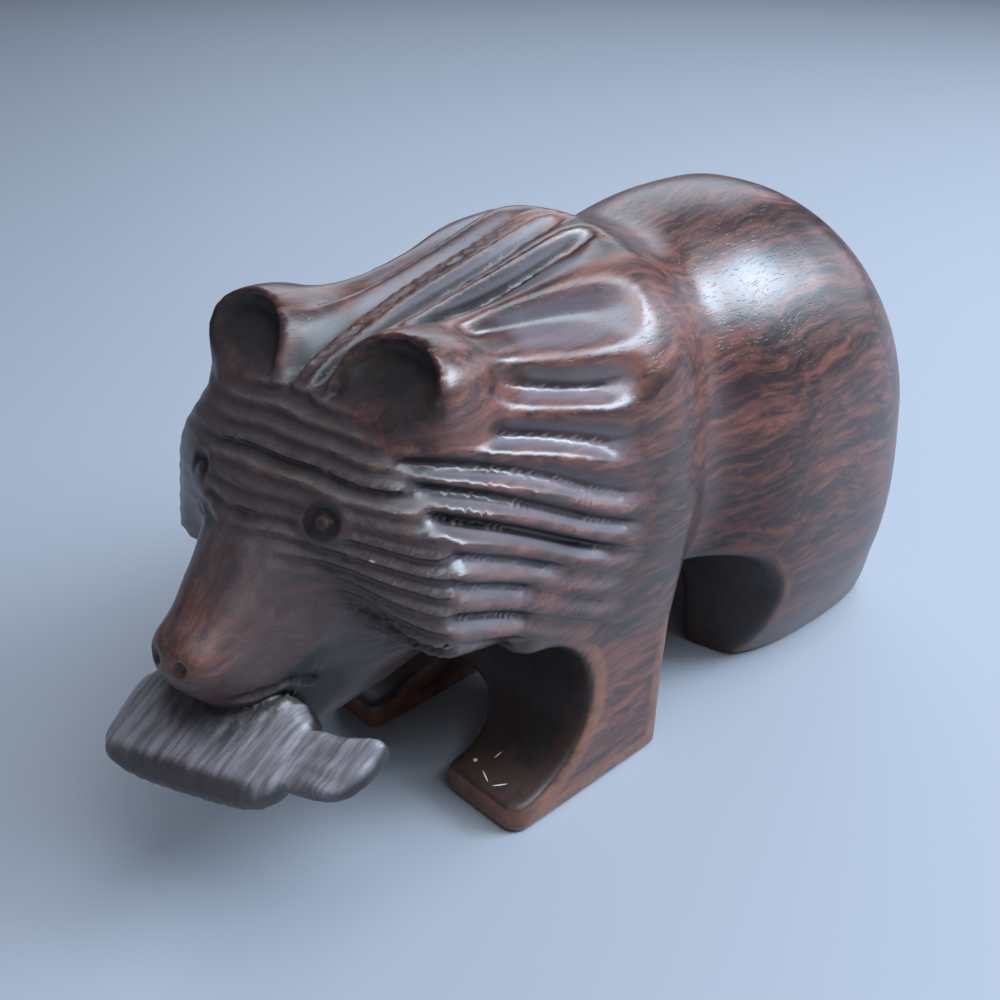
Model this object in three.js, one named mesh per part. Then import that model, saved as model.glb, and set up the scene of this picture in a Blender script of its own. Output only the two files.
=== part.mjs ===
// Carved ironwood bear with a fish across its mouth, all of one block of wood.
// Millimetres, +Z up. The bear faces -Y and its left side is +X. The block is a field of signed
// distances: rounded volumes are joined and cut softly, the mane is grooved with V cuts, and the
// zero surface is faceted on a grid and then thinned to the facets that its shape needs.
import * as THREE from 'three';

// Middle of the figure's box on the floor, in the carver's axes below
const ORIGIN = { x: 0, y: -10.25 };

// Hindquarters: the haunch is rounder above its middle than below, and leans back towards the floor
const rump = { y: 31.1, z: 43.5, lean: 0.185 };
const haunchAbove = { width: 30.5, length: 36.2, rise: 42.8, plan: 2.52, round: 2 };
const haunchBelow = { width: 30.5, length: 36.2, rise: 51, plan: 2.52, round: 2.8 };
const waist = { y: 4, z: 54, width: 22, length: 32, rise: 28.5, plan: 2.5, round: 2.5 };
const hindLeg = { x: 12.6, y: 42, width: 7.2, length: 18.5, top: 8, splay: 0.13, corner: 3.2 };

// Forequarters: one block carries shoulder, mane and face
const chest = { width: 27.2, barrel: 0.0021, barrelZ: 56, humpY: -18, humpZ: 88.7, crown: 62, back: -7 };
const neckFall = { slope: 0.3, bend: 0.0006, behind: 0.012, soft: 7 };
const brow = { y: -57.2, z: 78.5, slope: 50, curve: 0.01 };
const face = { y: -71.5, curve: 0.0167, lean: 0.000235, leanZ: 62 };
const maneHem = { y: -58.8, z: 42, slope: 0.336 };
const cheek = { top: [15.5, -76, 56], topRadius: 7, foot: [19.5, -71, 35], footRadius: 11 };
const foreLeg = { y: -24.8, z: 23, width: 24.2, flare: 0.035, length: 17.6, rise: 25, edge: 3 };
const headTurn = { angle: 7.5, pivotY: -50, startY: -26, fullY: -50 };

// Muzzle, nose, jaw, ears and eyes, right and left alike
const muzzle = {
  y: -72, z: 50, pitch: 46, width: 11.3, length: 15.3, rise: 7.6, sink: 1.5, taper: 0.022, taperFrom: 2,
  ridge: 0.05, ridgeFrom: -3, ridgeSpan: 12, plan: 2.6, round: 2.6,
};
const nose = { y: -81.4, z: 44.6, width: 5.4, length: 3.8, rise: 3.6, plan: 2.3, round: 2.3 };
const nostril = { x: 2.4, y: -85, z: 44.9, radius: 1.1 };
const jaw = { back: [0, -46, 41], backRadius: 15, tip: [0, -66.5, 34], tipRadius: 9.5 };
const ear = {
  x: 13.3, y: -54.2, z: 75, width: 9, length: 4.6, rise: 7.6, back: 0.34, plan: 2.2, round: 2.2,
};
const earFloor = { x: 13.8, y: -59, z: 74.3, pitch: 38, width: 8, length: 8.2, lift: 1, corner: 2.1 };
const eye = {
  x: 11.9, y: -68.3, z: 62.2, ring: 1.7, wire: 0.8, out: [0.25, -0.78, 0.57], bare: 2.4, fade: 2.5,
};

// Hollows under the body
const toeScoop = { y: -41.5, z: 20, radius: 14.6 };
const bellyArch = { y: 2.55, z: 17, radius: 10.55, flare: 0.11, lean: 0.06, leanFrom: 24 };
const foreGap = { x: -1.5, z: 2.8, radius: 9.3 };
const hindGap = { x: -0.5, z: 13, radius: 8.4 };
const gapChange = { fromY: -8, toY: 8 };

// Fish, in its own axes: a along it to the tail, b down its flank, t through it
const fish = { centre: [4, -81, 34], yaw: 14, pitch: 56, tilt: 11, thickness: 6.8, proud: 0.2 };
const flank = { a: 0.5, b: 1.4, length: 14.6, height: 8, shear: 0.22, belly: 0.06, corner: 4.2 };
const tail = {
  rootA: 14, overlap: 6, b: 2.4, root: 4.1, flare: 0.05, tipA: 16.6, tipB: -2.5, tipRadius: 10.2,
  thickness: 3.6, t: 0.6,
};

// V cuts of the mane, counted up the cheeks and then round the neck, and the shallow ones across the brow
const neckRound = {
  z: 68, low: 52, radius: 27, shift: 14.5, hem: -25, slant: 0.48, slantY: -57.5, slantFrom: 8, slantFull: 22,
  blend: 7,
};
const maneCut = {
  pitch: 4.5, depth: 2.9, steep: 1.25, slack: 2.5, lift: 0.65, run: 6, wander: 0.5, lean: 0.02, leanMost: 0.3,
  tips: [[-24, -21], [-13, -21.5], [-8, -20], [-3, -18], [5, -17.5], [8, -20.5], [13, -18], [28, -8]],
  tipSpread: 3, crownMore: 0.5, crownFrom: 8, crownFull: 15, bottom: 0.3, crest: 0.08, alikeFrom: 22.5,
};
const browCut = {
  pitch: 4.2, depth: 1.4, arch: 0.0025, endZ: 79, spread: 0.25, cornerX: 26.5, faint: 0.7,
};
const browSway = [{ reach: 0.35, x: 0.21, z: 0.15, turn: 0 }, { reach: 0.18, x: 0.5, z: -0.2, turn: 1 }];
const bareMuzzle = { z: 45, width: 14.5, rise: 16, inner: 0.85, outer: 1.1 };
const bareEar = { low: 5, high: 20, fade: 3, frontY: -50, backY: -45 };
const hemFade = 3.5;
const browFade = 6;
const frontBlend = { from: -2, to: 0.6 };
const leanFromY = -40;
const runOut = 0.8;

// Fillets and rounded edges between the carved volumes
const fillet = {
  crown: 11, browEdge: 5, faceEdge: 2.5, hem: 4, back: 11, cheek: 3, snout: 6, nose: 4, jaw: 9, ear: 6,
  earFloor: 2.5, earRim: 0.7, eye: 0.4, nostril: 0.4, loin: 7, hindTop: 6, hindLeg: 7, foreLeg: 2.5,
  body: 13, toes: 1.2, arch: 1.5, legGap: 2, sole: 1, fish: 0.6, flank: 3.2, fan: 1.6, rim: 1,
};

// Facets
const CELL = [0.9, 1.2, 0.8];
const BOX = { low: [-32, -94, -1.2], high: [33.5, 72.5, 91] };
const RELAX = 0.5;
const FACETS = 9200;
const SOLE_PLANE = 0.06;

const { abs, atan2, ceil, cos, floor, hypot, max, min, PI, sin } = Math;
const radians = (degrees) => degrees * PI / 180;
const clamp = (value, low, high) => min(max(value, low), high);

// Smooth step from 0 to 1 between two values, in either direction
function ramp(from, to, value) {
  const t = clamp((value - from) / (to - from), 0, 1);
  return t * t * (3 - 2 * t);
}

// Two volumes joined with a fillet of about the given radius
function join(a, b, radius) {
  const h = clamp(0.5 + 0.5 * (b - a) / radius, 0, 1);
  return b + (a - b) * h - radius * h * (1 - h);
}

// What two volumes share, with the edge between them rounded
function trim(a, b, radius) {
  return -join(-a, -b, radius);
}

function cut(a, tool, radius) {
  return trim(a, -tool, radius);
}

// Straight lines through a few stations
function along(stations, value) {
  let i = 1;
  while (i < stations.length - 1 && stations[i][0] < value) i += 1;
  const [v0, w0] = stations[i - 1];
  const [v1, w1] = stations[i];
  return w0 + (w1 - w0) * clamp((value - v0) / (v1 - v0), 0, 1);
}

// Distance to a rounded block about the origin, along the line to its middle
function pebble(x, y, z, { width, length, rise, plan, round }) {
  const flat = (abs(x / width) ** plan + abs(y / length) ** plan) ** (1 / plan);
  const size = (flat ** round + abs(z / rise) ** round) ** (1 / round);
  return hypot(x, y, z) * (1 - 1 / max(size, 1e-6));
}

// Distance to a flat outline with rounded corners
function roundedOutline(a, b, length, height, corner) {
  const size = (abs(a / length) ** corner + abs(b / height) ** corner) ** (1 / corner);
  return (size - 1) * min(length, height);
}

function roundedBox(x, y, z, { width, length, rise, edge }) {
  const dx = abs(x) - width + edge;
  const dy = abs(y) - length + edge;
  const dz = abs(z) - rise + edge;
  const outside = hypot(max(dx, 0), max(dy, 0), max(dz, 0));
  return outside + min(max(dx, dy, dz), 0) - edge;
}

function dot(p, q) {
  return p[0] * q[0] + p[1] * q[1] + p[2] * q[2];
}

// Distance to a round stick from one ball to another
function stick(x, y, z, from, to, fromRadius, toRadius) {
  const d = [to[0] - from[0], to[1] - from[1], to[2] - from[2]];
  const p = [x - from[0], y - from[1], z - from[2]];
  const t = clamp(dot(p, d) / dot(d, d), 0, 1);
  const radius = fromRadius + (toRadius - fromRadius) * t;
  return hypot(p[0] - t * d[0], p[1] - t * d[1], p[2] - t * d[2]) - radius;
}

// A carver's small differences: one value from 0 to 1 for each cut
function chance(index, salt) {
  const value = sin(index * 12.9898 + salt * 78.233 + 4.1) * 43758.5453;
  return value - floor(value);
}

// Depth of the mane's V cuts: a steep upper wall and a slack lower one, running out to a tip
function vCut(across, y, salt) {
  const { pitch, lift, steep, slack, bottom, crest, leanMost, tips } = maneCut;
  const index = floor(across / pitch);
  const wander = maneCut.wander * (chance(index, salt) - 0.5);
  const lean = maneCut.lean * (y - leanFromY) * (chance(index, salt + 3) - 0.5);
  const offset = across - (index + 0.5) * pitch - lift - wander - clamp(lean, -leanMost, leanMost);
  const tip = along(tips, across) + maneCut.tipSpread * (chance(index, salt + 1) - 0.5);
  const more = 1 + maneCut.crownMore * ramp(maneCut.crownFrom, maneCut.crownFull, across);
  const full = maneCut.depth * more * (0.75 + 0.5 * chance(index, salt + 2));
  const upper = offset / steep;
  const lower = -offset / slack;
  const groove = 1 - (upper + lower + hypot(upper - lower, bottom)) / 2;
  return full * clamp((tip - y) / maneCut.run, 0, 1) ** runOut * (groove + hypot(groove, crest)) / 2;
}

// Depth of the round gouge cuts side by side across the brow, with a ridge between each two
function browScallops(across) {
  const turn = across / browCut.pitch;
  const index = floor(turn);
  return browCut.depth * (0.5 + chance(index, 2)) * (1 - (2 * (turn - index) - 1) ** 2);
}

// The fish's own axes, from its yaw, the lean of its flank and its tilt in the mouth
const fishAxes = (() => {
  const yaw = radians(fish.yaw);
  const pitch = radians(fish.pitch);
  const tilt = radians(fish.tilt);
  const out = new THREE.Vector3(sin(yaw) * cos(pitch), -cos(yaw) * cos(pitch), sin(pitch));
  const level = new THREE.Vector3(cos(yaw), sin(yaw), 0);
  const down = level.clone().cross(out);
  const a = level.clone().multiplyScalar(cos(tilt)).addScaledVector(down, -sin(tilt));
  const b = level.clone().multiplyScalar(sin(tilt)).addScaledVector(down, cos(tilt));
  return { a: a.toArray(), b: b.toArray(), t: out.toArray() };
})();

function fishField(x, y, z) {
  const p = [x - fish.centre[0], y - fish.centre[1], z - fish.centre[2]];
  const a = dot(p, fishAxes.a);
  const b = dot(p, fishAxes.b);
  const t = dot(p, fishAxes.t) + fish.thickness / 2 - fish.proud;
  const outlineA = a - flank.a + flank.shear * (b - flank.b);
  const outlineB = b - flank.b - flank.belly * a;
  const outline = roundedOutline(outlineA, outlineB, flank.length, flank.height, flank.corner);
  const body = trim(outline, abs(t) - fish.thickness / 2, fillet.flank);
  const sides = abs(b - tail.b) - tail.root - tail.flare * (a - tail.rootA);
  let fan = trim(sides, hypot(a - tail.tipA, b - tail.tipB) - tail.tipRadius, fillet.fan);
  fan = trim(fan, abs(t - tail.t) - tail.thickness / 2, fillet.rim);
  fan = trim(fan, tail.rootA - tail.overlap - a, fillet.rim);
  return join(body, fan, fillet.rim);
}

// Shoulder, mane and face before any cut, with the two fields that tell front from sides
function maneBlock(x, y, z) {
  const side = abs(x) - chest.width + chest.barrel * (z - chest.barrelZ) ** 2;
  const ahead = chest.humpY - y;
  const forward = (ahead + hypot(ahead, neckFall.soft)) / 2;
  const behind = max(-ahead, 0);
  const fall = neckFall.slope * forward + neckFall.bend * forward ** 2 + neckFall.behind * behind ** 2;
  const top = (z - chest.humpZ + fall + x * x / chest.crown) * 0.95;
  const tilt = radians(brow.slope);
  const forehead = (brow.y + brow.curve * x * x - y) * sin(tilt) + (z - brow.z) * cos(tilt);
  const sweep = face.curve + face.lean * (z - face.leanZ);
  const cheeks = (face.y - y + sweep * x * x) / hypot(1, 2 * sweep * x);
  const hem = (maneHem.z - (y - maneHem.y) * maneHem.slope - z) * 0.95;
  const crown = trim(side, top, fillet.crown);
  const front = trim(forehead, cheeks, fillet.browEdge);
  let block = trim(crown, front, fillet.faceEdge);
  block = trim(block, hem, fillet.hem);
  block = trim(block, y - chest.back, fillet.back);
  return { block, crown, front };
}

// Depth of the carver's cuts at a point of the mane or the brow
function maneCuts(x, y, z, crown, front) {
  const atSide = ramp(neckRound.slantFrom, neckRound.slantFull, abs(x));
  const above = z - neckRound.z + neckRound.slant * (y - neckRound.slantY) * atSide;
  const angle = atan2(above + neckRound.z - neckRound.low, abs(x));
  const over = neckRound.radius * angle - neckRound.shift;
  const round = above + (over - above) * ramp(-neckRound.blend, neckRound.blend, above);
  const pastLow = ramp(bareEar.low, bareEar.low + bareEar.fade, round);
  const besideEar = pastLow * ramp(bareEar.high, bareEar.high - bareEar.fade, round);
  const clearOfEar = 1 - besideEar * (1 - ramp(bareEar.frontY, bareEar.backY, y));
  const aboveHem = ramp(neckRound.hem, neckRound.hem + hemFade, round);
  const salt = x > 0 || round > maneCut.alikeFrom ? 0 : 7;
  const sides = vCut(round, y, salt) * clearOfEar * aboveHem;
  const outward = min(abs(x) / browCut.cornerX, 1) ** 2;
  const arched = z - neckRound.z + browCut.arch * (x * x - browCut.cornerX ** 2);
  const swayed = browSway.map((wave) => wave.reach * sin(wave.x * x + wave.z * z + wave.turn));
  const level = arched * (1 + browCut.spread * (1 - outward)) + (swayed[0] + swayed[1]) * (1 - outward);
  const fromMuzzle = hypot(x / bareMuzzle.width, (z - bareMuzzle.z) / bareMuzzle.rise);
  const clearOfMuzzle = ramp(bareMuzzle.inner, bareMuzzle.outer, fromMuzzle);
  const belowCrown = ramp(browCut.endZ, browCut.endZ - browFade, z);
  const bold = browCut.faint + (1 - browCut.faint) * outward;
  const across = bold * browScallops(level) * clearOfMuzzle * belowCrown;
  const fromEye = hypot(abs(x) - eye.x, y - eye.y, z - eye.z);
  const facing = ramp(frontBlend.from, frontBlend.to, front - crown);
  return (sides * (1 - facing) + across * facing) * ramp(eye.bare, eye.bare + eye.fade, fromEye);
}

// How far down along a pitched line a point lies, and how far above it
function tipped(y, z, line) {
  const pitch = radians(line.pitch);
  const dy = y - line.y;
  const dz = z - line.z;
  return [-dy * cos(pitch) - dz * sin(pitch), -dy * sin(pitch) + dz * cos(pitch)];
}

// Head and shoulders in the head's own axes
function headField(x, y, z) {
  const half = abs(x);
  const { block, crown, front } = maneBlock(x, y, z);
  const hollow = stick(half, y, z, cheek.top, cheek.foot, cheek.topRadius, cheek.footRadius);
  let field = cut(block, hollow, fillet.cheek) + maneCuts(x, y, z, crown, front);
  const [down, rise] = tipped(y, z, muzzle);
  const up = rise + muzzle.sink;
  const tapering = muzzle.taper * max(down - muzzle.taperFrom, 0);
  const narrowing = 1 + tapering + muzzle.ridge * clamp(up - muzzle.ridgeFrom, 0, muzzle.ridgeSpan);
  const snout = pebble(x * narrowing, down, up, muzzle);
  field = join(field, snout, fillet.snout);
  const pad = pebble(x, y - nose.y, z - nose.z, nose);
  field = join(field, pad, fillet.nose);
  field = join(field, stick(x, y, z, jaw.back, jaw.tip, jaw.backRadius, jaw.tipRadius), fillet.jaw);
  const behind = max(y - ear.y, 0);
  const flap = pebble(half - ear.x, y - ear.y - (1 - ear.back) * behind, z - ear.z, ear);
  field = join(field, flap, fillet.ear);
  const [below, over] = tipped(y, z, earFloor);
  const { width, length, corner } = earFloor;
  const archway = roundedOutline(half - earFloor.x, below + earFloor.lift, width, length, corner);
  field = cut(field, trim(archway, -over, fillet.earFloor), fillet.earRim);
  const fromEye = [half - eye.x, y - eye.y, z - eye.z];
  const outOfEye = dot(fromEye, eye.out);
  const aside = max(dot(fromEye, fromEye) - outOfEye ** 2, 0) ** 0.5;
  field = cut(field, hypot(aside - eye.ring, outOfEye) - eye.wire, fillet.eye);
  return cut(field, hypot(half - nostril.x, y - nostril.y, z - nostril.z) - nostril.radius, fillet.nostril);
}

function hindField(x, y, z) {
  const lift = z - rump.z;
  const haunch = pebble(x, y - rump.y + rump.lean * lift, lift, lift > 0 ? haunchAbove : haunchBelow);
  const loin = pebble(x, y - waist.y, z - waist.z, waist);
  const legX = abs(x) - hindLeg.x - hindLeg.splay * (y - hindLeg.y);
  const post = roundedOutline(legX, y - hindLeg.y, hindLeg.width, hindLeg.length, hindLeg.corner);
  const leg = trim(post, z - hindLeg.top, fillet.hindTop);
  return join(join(haunch, loin, fillet.loin), leg, fillet.hindLeg);
}

// A round-topped opening: half the width below its springing line, an arc above it
function tunnel(across, z, springing, radius) {
  return (z > springing ? hypot(across, z - springing) : abs(across)) - radius;
}

// The head turned to the bear's left, the turn growing along the neck
function turned(x, y) {
  const angle = radians(headTurn.angle) * ramp(headTurn.startY, headTurn.fullY, y);
  const ahead = y - headTurn.pivotY;
  return [cos(angle) * x + sin(angle) * ahead, cos(angle) * ahead - sin(angle) * x + headTurn.pivotY];
}

function bearField(x, y, z) {
  const [headX, headY] = turned(x, y);
  const leg = roundedBox(abs(x) - foreLeg.flare * z, y - foreLeg.y, z - foreLeg.z, foreLeg);
  let field = join(headField(headX, headY, z), leg, fillet.foreLeg);
  field = join(field, hindField(x, y, z), fillet.body);
  field = cut(field, hypot(y - toeScoop.y, z - toeScoop.z) - toeScoop.radius, fillet.toes);
  const leanBack = bellyArch.lean * max(bellyArch.leanFrom - z, 0);
  const flare = bellyArch.flare * abs(x) + leanBack;
  const arch = tunnel(y - bellyArch.y - flare, z, bellyArch.z, bellyArch.radius + flare);
  field = cut(field, arch, fillet.arch);
  const hindward = ramp(gapChange.fromY, gapChange.toY, y);
  const between = (name) => foreGap[name] + (hindGap[name] - foreGap[name]) * hindward;
  field = cut(field, tunnel(x - between('x'), z, between('z'), between('radius')), fillet.legGap);
  field = trim(field, -z, fillet.sole);
  return join(field, fishField(x, y, z), fillet.fish);
}

// The six tetrahedra of a grid cell, by corner numbers whose bits are the steps in x, y and z
const TETRAHEDRA = [[0, 1, 3, 7], [0, 3, 2, 7], [0, 2, 6, 7], [0, 6, 4, 7], [0, 4, 5, 7], [0, 5, 1, 7]];
const ONE_INSIDE = [[0, 1, 2, 3], [1, 0, 3, 2], [2, 0, 1, 3], [3, 0, 2, 1]];
const TWO_INSIDE = [[0, 1, 2, 3], [0, 2, 3, 1], [0, 3, 1, 2], [1, 2, 0, 3], [1, 3, 2, 0], [2, 3, 0, 1]];

// Facets of a field's zero surface, cell by cell, with each crossing point made once
function facetField(field, box, cell) {
  const size = [0, 1, 2].map((k) => ceil((box.high[k] - box.low[k]) / cell[k]) + 1);
  const step = [1, size[0], size[0] * size[1]];
  const values = new Float64Array(size[0] * size[1] * size[2]);
  const place = (index) => {
    const i = index % size[0];
    const j = floor(index / step[1]) % size[1];
    const k = floor(index / step[2]);
    return [box.low[0] + i * cell[0], box.low[1] + j * cell[1], box.low[2] + k * cell[2]];
  };
  for (let index = 0; index < values.length; index += 1) values[index] = field(...place(index));
  const corner = [...Array(8).keys()].map((c) => (c & 1) + ((c >> 1) & 1) * step[1] + (c >> 2) * step[2]);
  const points = [];
  const faces = [];
  const made = new Map();
  let base = 0;
  const crossing = (c, d) => {
    const low = base + corner[min(c, d)];
    const high = base + corner[max(c, d)];
    const key = low * 8 + (c ^ d);
    if (!made.has(key)) {
      const t = clamp(values[low] / (values[low] - values[high]), 0.04, 0.96);
      const p = place(low);
      const q = place(high);
      made.set(key, points.length / 3);
      points.push(p[0] + (q[0] - p[0]) * t, p[1] + (q[1] - p[1]) * t, p[2] + (q[2] - p[2]) * t);
    }
    return made.get(key);
  };
  const facetTetrahedron = (tetrahedron) => {
    const inside = tetrahedron.map((c) => values[base + corner[c]] < 0);
    const count = inside.filter(Boolean).length;
    if (count === 1 || count === 3) {
      const order = ONE_INSIDE[inside.indexOf(count === 1)];
      const [a, b, c, d] = order.map((n) => tetrahedron[n]);
      const facet = [crossing(a, b), crossing(a, c), crossing(a, d)];
      faces.push(...(count === 1 ? facet : facet.reverse()));
    }
    if (count === 2) {
      const order = TWO_INSIDE.find((pair) => inside[pair[0]] && inside[pair[1]]);
      const [a, b, c, d] = order.map((n) => tetrahedron[n]);
      const facet = [crossing(a, c), crossing(a, d), crossing(b, d), crossing(b, c)];
      faces.push(facet[0], facet[1], facet[2], facet[0], facet[2], facet[3]);
    }
  };
  for (let k = 0; k < size[2] - 1; k += 1) {
    for (let j = 0; j < size[1] - 1; j += 1) {
      for (let i = 0; i < size[0] - 1; i += 1) {
        base = i + j * step[1] + k * step[2];
        const first = values[base] < 0;
        if (corner.some((c) => values[base + c] < 0 !== first)) TETRAHEDRA.forEach(facetTetrahedron);
      }
    }
  }
  return { points, faces };
}

// Each point moved part of the way to the middle of its neighbours, which takes off the grid's small teeth
function relaxFacets({ points, faces }, share) {
  const sums = new Float64Array(points.length);
  const counts = new Int32Array(points.length / 3);
  for (let f = 0; f < faces.length; f += 3) {
    for (let i = 0; i < 3; i += 1) {
      const v = faces[f + i];
      const w = faces[f + (i + 1) % 3];
      counts[v] += 1;
      for (let k = 0; k < 3; k += 1) sums[3 * v + k] += points[3 * w + k];
    }
  }
  const relaxed = points.map((value, i) => value + share * (sums[i] / counts[floor(i / 3)] - value));
  return { points: relaxed, faces };
}

// A heap of edges, cheapest first
function edgeHeap() {
  const heap = [];
  const swap = (i, j) => {
    const held = heap[i];
    heap[i] = heap[j];
    heap[j] = held;
  };
  return {
    push(edge) {
      let i = heap.push(edge) - 1;
      while (i > 0 && heap[(i - 1) >> 1].cost > heap[i].cost) {
        swap(i, (i - 1) >> 1);
        i = (i - 1) >> 1;
      }
    },
    pop() {
      const first = heap[0];
      const last = heap.pop();
      if (heap.length > 0) heap[0] = last;
      let i = 0;
      for (;;) {
        let least = i;
        for (const child of [2 * i + 1, 2 * i + 2]) {
          if (child < heap.length && heap[child].cost < heap[least].cost) least = child;
        }
        if (least === i) return first;
        swap(i, least);
        i = least;
      }
    },
    size: () => heap.length,
  };
}

// Facets thinned by folding the edges that change the shape least, judged by the planes they carry
function thinFacets({ points, faces }, target) {
  const P = Float64Array.from(points);
  const F = Int32Array.from(faces);
  const count = P.length / 3;
  const planes = new Float64Array(count * 10);
  const around = Array.from({ length: count }, () => new Set());
  const version = new Int32Array(count);
  const at = (v) => [P[3 * v], P[3 * v + 1], P[3 * v + 2]];
  const normalOf = (a, b, c) => {
    const u = [b[0] - a[0], b[1] - a[1], b[2] - a[2]];
    const v = [c[0] - a[0], c[1] - a[1], c[2] - a[2]];
    return [u[1] * v[2] - u[2] * v[1], u[2] * v[0] - u[0] * v[2], u[0] * v[1] - u[1] * v[0]];
  };
  for (let f = 0; f < F.length / 3; f += 1) {
    const corners = [F[3 * f], F[3 * f + 1], F[3 * f + 2]];
    const normal = normalOf(...corners.map(at));
    const length = hypot(...normal) || 1;
    const [a, b, c] = normal.map((v) => v / length);
    const [x, y, z] = at(corners[0]);
    const d = -(a * x + b * y + c * z);
    const terms = [a * a, a * b, a * c, a * d, b * b, b * c, b * d, c * c, c * d, d * d];
    for (const v of corners) {
      around[v].add(f);
      terms.forEach((term, i) => { planes[10 * v + i] += term * length / 2; });
    }
  }
  const neighbours = (v) => {
    const found = new Set();
    for (const f of around[v]) for (let i = 0; i < 3; i += 1) found.add(F[3 * f + i]);
    found.delete(v);
    return found;
  };
  // Best place for the point that an edge folds to, held lightly to the edge's middle
  const fold = (v, w) => {
    const q = Array.from({ length: 10 }, (_, i) => planes[10 * v + i] + planes[10 * w + i]);
    const hold = 2e-3;
    const [p, r] = [at(v), at(w)];
    const middle = [0, 1, 2].map((i) => (p[i] + r[i]) / 2);
    const [a, b, c, e, f, i] = [q[0] + hold, q[1], q[2], q[4] + hold, q[5], q[7] + hold];
    const [x, y, z] = [hold * middle[0] - q[3], hold * middle[1] - q[6], hold * middle[2] - q[8]];
    const [m0, m1, m2] = [e * i - f * f, c * f - b * i, b * f - c * e];
    const whole = a * m0 + b * m1 + c * m2;
    const place = [
      (x * m0 + y * m1 + z * m2) / whole,
      (x * m1 + y * (a * i - c * c) + z * (b * c - a * f)) / whole,
      (x * m2 + y * (b * c - a * f) + z * (a * e - b * b)) / whole,
    ];
    const [s, t, u] = place;
    const error = q[0] * s * s + 2 * q[1] * s * t + 2 * q[2] * s * u + 2 * q[3] * s + q[4] * t * t
      + 2 * q[5] * t * u + 2 * q[6] * t + q[7] * u * u + 2 * q[8] * u + q[9];
    const span = (p[0] - r[0]) ** 2 + (p[1] - r[1]) ** 2 + (p[2] - r[2]) ** 2;
    return { cost: max(error, 0) + 1e-5 * span, place };
  };
  const heap = edgeHeap();
  const offer = (v, w) => heap.push({ cost: fold(v, w).cost, v, w, stamp: version[v] + version[w] });
  for (let v = 0; v < count; v += 1) for (const w of neighbours(v)) if (v < w) offer(v, w);
  // No facet may turn over or shrink to a sliver when its corner moves
  const keepsShape = (v, other, place) => {
    for (const f of around[v]) {
      const corners = [F[3 * f], F[3 * f + 1], F[3 * f + 2]];
      if (!corners.includes(other)) {
        const before = normalOf(...corners.map(at));
        const moved = corners.map((c) => (c === v ? place : at(c)));
        const after = normalOf(...moved);
        const [p, q, r] = moved;
        const longest = max(hypot(p[0] - q[0], p[1] - q[1], p[2] - q[2]),
          hypot(q[0] - r[0], q[1] - r[1], q[2] - r[2]), hypot(r[0] - p[0], r[1] - p[1], r[2] - p[2]));
        const area = hypot(...after);
        if (dot(before, after) < 0.35 * hypot(...before) * area) return false;
        if (area < 0.03 * longest * longest) return false;
      }
    }
    return true;
  };
  let left = F.length / 3;
  while (left > target && heap.size() > 0) {
    const { v, w, stamp } = heap.pop();
    if (version[v] < 0 || version[w] < 0 || version[v] + version[w] !== stamp) continue;
    const near = neighbours(v);
    const shared = [...neighbours(w)].filter((n) => near.has(n)).length;
    const { place } = fold(v, w);
    if (shared !== 2 || !keepsShape(v, w, place) || !keepsShape(w, v, place)) continue;
    for (const f of [...around[w]]) {
      const corners = [F[3 * f], F[3 * f + 1], F[3 * f + 2]];
      if (corners.includes(v)) {
        corners.forEach((c) => around[c].delete(f));
        left -= 1;
      } else {
        F[3 * f + corners.indexOf(w)] = v;
        around[v].add(f);
      }
    }
    around[w].clear();
    P.set(place, 3 * v);
    for (let i = 0; i < 10; i += 1) planes[10 * v + i] += planes[10 * w + i];
    version[w] = -1;
    version[v] += 1;
    for (const n of neighbours(v)) offer(v, n);
  }
  const kept = new Map();
  const index = [];
  const position = [];
  const alive = new Set(around.flatMap((set) => [...set]));
  for (const f of alive) {
    for (let i = 0; i < 3; i += 1) {
      const v = F[3 * f + i];
      if (!kept.has(v)) {
        kept.set(v, kept.size);
        position.push(...at(v));
      }
      index.push(kept.get(v));
    }
  }
  return { position, index };
}

const thinned = thinFacets(relaxFacets(facetField(bearField, BOX, CELL), RELAX), FACETS);
// Soles planed level with the floor
const position = thinned.position.map((value, i) => (i % 3 === 2 && value < SOLE_PLANE ? 0 : value));
const geometry = new THREE.BufferGeometry();
geometry.setAttribute('position', new THREE.Float32BufferAttribute(position, 3));
geometry.setIndex(thinned.index);
geometry.translate(-ORIGIN.x, -ORIGIN.y, 0);
geometry.computeVertexNormals();

const ironwood = new THREE.MeshStandardMaterial({ color: 0x43251c, roughness: 0.4, metalness: 0 });
const bear = new THREE.Mesh(geometry, ironwood);
bear.name = 'carved_bear';

const part = new THREE.Group();
part.add(bear);

export default part;
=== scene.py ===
# %% [markdown]
# A bear with a fish across its mouth, carved from one block of dark ironwood.
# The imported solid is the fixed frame: it says where the bear stands and how big it is. Everything below
# is in millimetres in the carver's own axes, and moves to the frame's metres at the end.

from types import SimpleNamespace as Shape

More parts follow.
